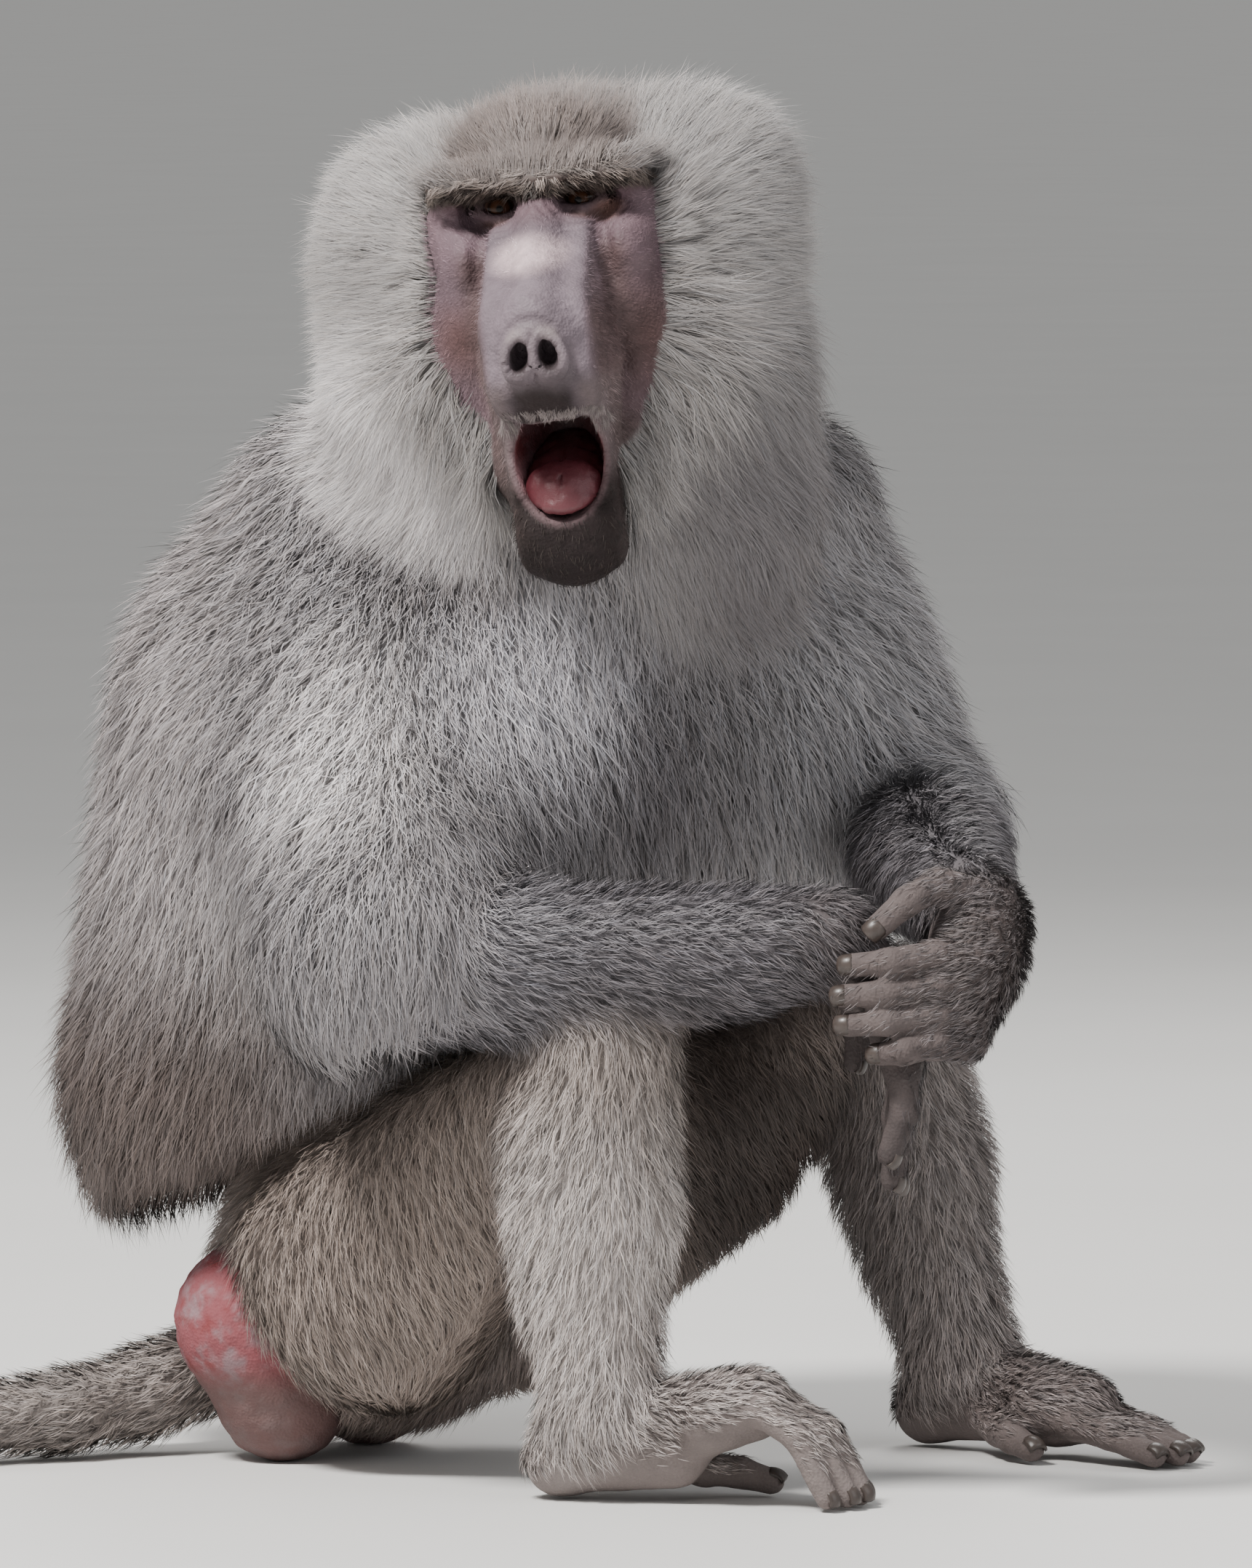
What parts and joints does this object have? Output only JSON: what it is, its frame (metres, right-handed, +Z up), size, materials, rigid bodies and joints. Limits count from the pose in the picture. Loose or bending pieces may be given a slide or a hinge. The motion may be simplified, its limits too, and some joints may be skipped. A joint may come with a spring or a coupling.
{
  "type": "hamadryas baboon model",
  "caption": "Life-size sitting male hamadryas baboon with a heavy grey mantle, head turned and mouth open, one hand holding the other wrist.",
  "frame": {"origin": "centre of the footprint box at the floor, with the seat pads, the feet and the tail on Z = 0", "axes": "+Z up; the trunk faces -Y and the animal's left side is +X; the head is turned about 58 degrees from the trunk towards the animal's right"},
  "size_m": [0.5078, 0.853, 0.7406],
  "materials": {
    "bare_face": "bare, finely wrinkled skin, satin",
    "ruff": "long pale grey hair, matte",
    "mantle": "long silver-grey to brown-grey hair, matte",
    "body_fur": "short to medium grizzled hair, matte",
    "dark_fur": "short dark brown hair, matte",
    "hand_skin": "dark skin with short hair on the back, matte",
    "eye": "wet, glossy",
    "tongue": "wet, satin",
    "seat_pad": "bare horny skin, matte"
  },
  "bodies": {
    "root": {"belly": "dark_fur", "callosity_left": "seat_pad", "callosity_right": "seat_pad", "chest": "mantle", "ear_left": "hand_skin", "ear_right": "hand_skin", "eye_left": "eye", "eye_right": "eye", "foot_left": "body_fur", "foot_right": "body_fur", "forearm_left": "body_fur", "forearm_right": "body_fur", "hand_left": "hand_skin", "hand_right": "hand_skin", "head": "bare_face", "lower_jaw": "bare_face", "mane": "ruff", "mantle": "mantle", "pelvis": "body_fur", "shin_left": "body_fur", "shin_right": "body_fur", "tail_middle": "body_fur", "tail_root": "body_fur", "tail_tip": "body_fur", "thigh_left": "body_fur", "thigh_right": "body_fur", "tongue": "tongue", "upper_arm_left": "mantle", "upper_arm_right": "mantle"}
  },
  "joints": []
}
